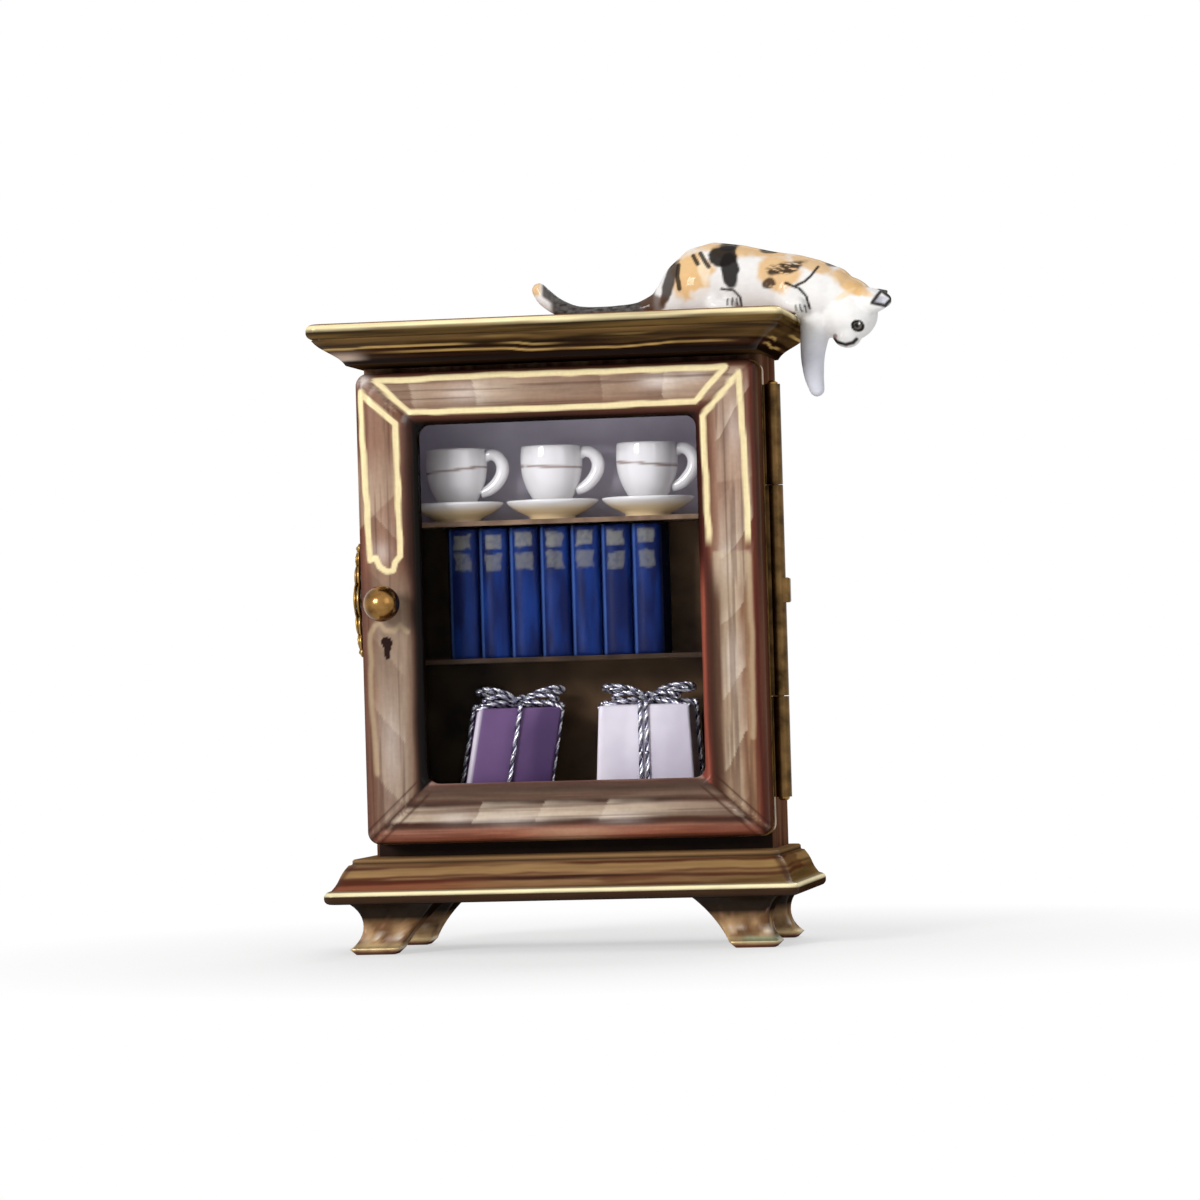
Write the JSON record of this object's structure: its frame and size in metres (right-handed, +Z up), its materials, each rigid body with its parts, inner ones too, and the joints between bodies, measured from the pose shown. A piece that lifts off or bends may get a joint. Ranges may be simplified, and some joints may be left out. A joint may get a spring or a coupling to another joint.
{
  "type": "miniature china cabinet",
  "caption": "Hinged porcelain keepsake box shaped as a miniature china cabinet, with a glazed door, cups, books, tied gifts and a resting cat on top.",
  "frame": {"origin": "on the floor that the four feet stand on, under the middle of the whole, the overhanging cat included: 7 mm to the right of the case's middle and 2.3 mm behind the seam between case and door", "axes": "+Z up, +X to the right as seen from the front, -Y out of the front of the door"},
  "size_m": [0.0835, 0.0358, 0.1021],
  "materials": {
    "case_glaze": "gloss",
    "foot_glaze": "gloss",
    "shelf_glaze": "gloss",
    "white_glaze": "gloss",
    "book_glaze": "gloss",
    "purple_glaze": "gloss",
    "silver_cord": "metallic thread",
    "brass": "polished",
    "clear_glass": "clear",
    "cat_glaze": "gloss"
  },
  "bodies": {
    "cabinet": {"case": "case_glaze", "plinth": "case_glaze", "cornice": "case_glaze", "foot_front_left": "foot_glaze", "foot_front_right": "foot_glaze", "foot_rear_left": "foot_glaze", "foot_rear_right": "foot_glaze", "upper_shelf": "shelf_glaze", "lower_shelf": "shelf_glaze", "cup_left": "white_glaze", "saucer_left": "white_glaze", "cup_middle": "white_glaze", "saucer_middle": "white_glaze", "cup_right": "white_glaze", "saucer_right": "white_glaze", "book_1": "book_glaze", "book_2": "book_glaze", "book_3": "book_glaze", "book_4": "book_glaze", "book_5": "book_glaze", "book_6": "book_glaze", "book_7": "book_glaze", "gift_box_left": "purple_glaze", "gift_box_right": "white_glaze", "gift_cord_left": "silver_cord", "gift_cord_right": "silver_cord", "case_bezel": "brass", "hinge_knuckle_lower": "brass", "hinge_knuckle_upper": "brass", "hinge_pin": "brass", "clasp_stud": "brass", "cat_figure": "cat_glaze"},
    "door": {"door_frame": "case_glaze", "door_bezel": "brass", "door_knuckle": "brass", "window_pane": "clear_glass", "pane_retainer": "brass", "door_knob": "brass", "clasp_plate": "brass"}
  },
  "joints": [
    {"name": "door_hinge", "type": "hinge", "parent": "cabinet", "child": "door", "pos_m": [0.0241, -0.0023, 0], "axis": [0, 0, 1], "range_deg": [0, 105]}
  ]
}
